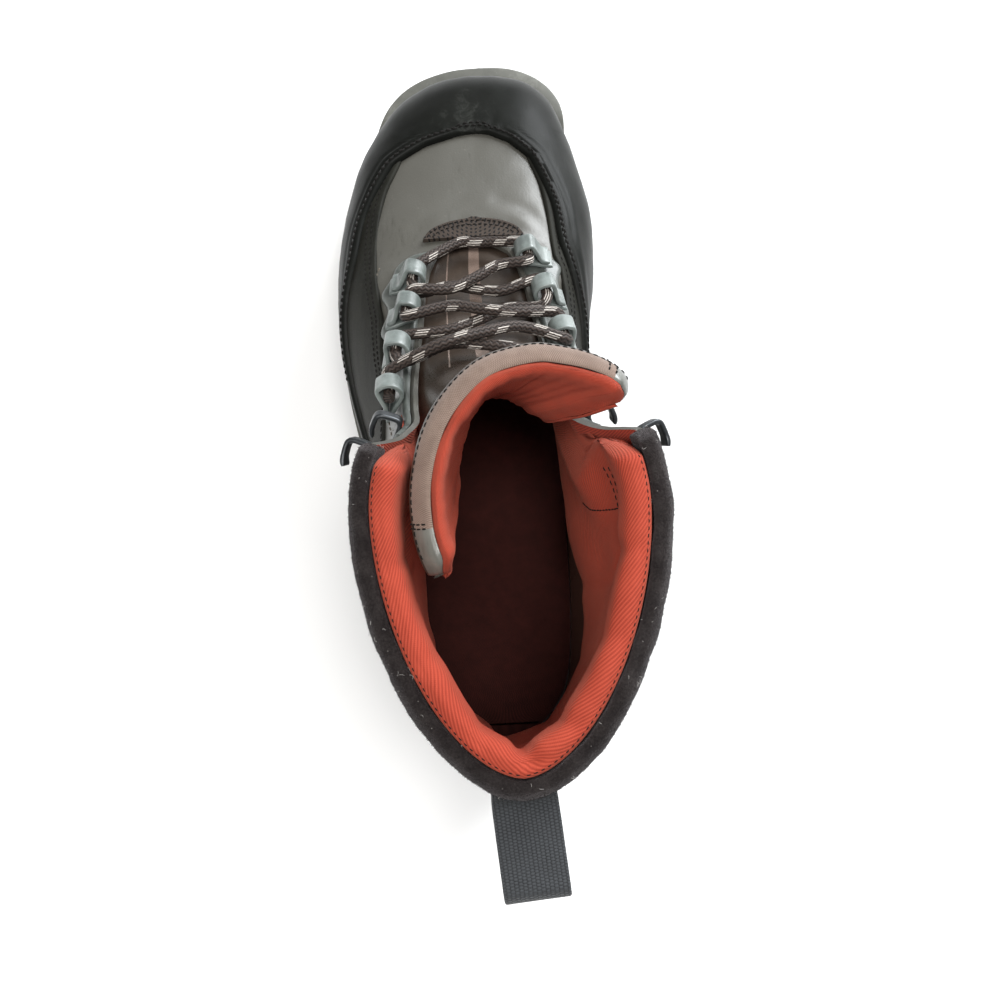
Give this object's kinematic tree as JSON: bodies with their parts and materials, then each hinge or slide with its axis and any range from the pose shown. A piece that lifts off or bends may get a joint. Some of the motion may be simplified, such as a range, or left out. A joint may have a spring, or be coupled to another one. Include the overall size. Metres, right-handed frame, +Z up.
{
  "type": "wading boot",
  "caption": "Lace-up ankle-high wading boot for the left foot: lugged rubber sole, rubber rand, leather shaft with padded collar, loop eyes, speed hooks, padded tongue and heel pull loop.",
  "frame": {"origin": "on the floor under the middle of the heel, where the sole's heel rests", "axes": "+Y to the toe, +X to the inner (medial) side of this left boot, +Z up"},
  "size_m": [0.1274, 0.3471, 0.2091],
  "materials": {
    "outsole_rubber": "matte",
    "midsole_foam": "matte, finely textured",
    "insole_fabric": "matte",
    "upper_leather": "satin, fine grain",
    "rand_rubber": "satin, scuffed",
    "counter_leather": "satin",
    "eyestay_plastic": "semi-gloss",
    "guard_fabric": "matte, perforated",
    "cuff_fabric": "short pile",
    "lining_fabric": "ribbed twill",
    "tongue_leather": "semi-gloss",
    "eye_plastic": "semi-gloss",
    "hook_metal": "dark, semi-gloss",
    "lace_fabric": "braided",
    "webbing_fabric": "woven"
  },
  "bodies": {
    "root": {"outsole": "outsole_rubber", "midsole": "midsole_foam", "insole": "insole_fabric", "upper": "upper_leather", "rand": "rand_rubber", "heel_counter": "counter_leather", "eyestay_lateral": "eyestay_plastic", "eyestay_medial": "eyestay_plastic", "throat_guard": "guard_fabric", "cuff": "cuff_fabric", "collar_lining": "lining_fabric", "tongue": "tongue_leather", "tongue_lining": "lining_fabric", "lace_eye_lateral_1": "eye_plastic", "lace_eye_lateral_2": "eye_plastic", "lace_eye_lateral_3": "eye_plastic", "lace_eye_lateral_4": "eye_plastic", "lace_eye_medial_1": "eye_plastic", "lace_eye_medial_2": "eye_plastic", "lace_eye_medial_3": "eye_plastic", "lace_eye_medial_4": "eye_plastic", "lace_hook_lateral_1": "hook_metal", "lace_hook_lateral_2": "hook_metal", "lace_hook_medial_1": "hook_metal", "lace_hook_medial_2": "hook_metal", "lace": "lace_fabric", "pull_loop": "webbing_fabric"}
  },
  "joints": []
}
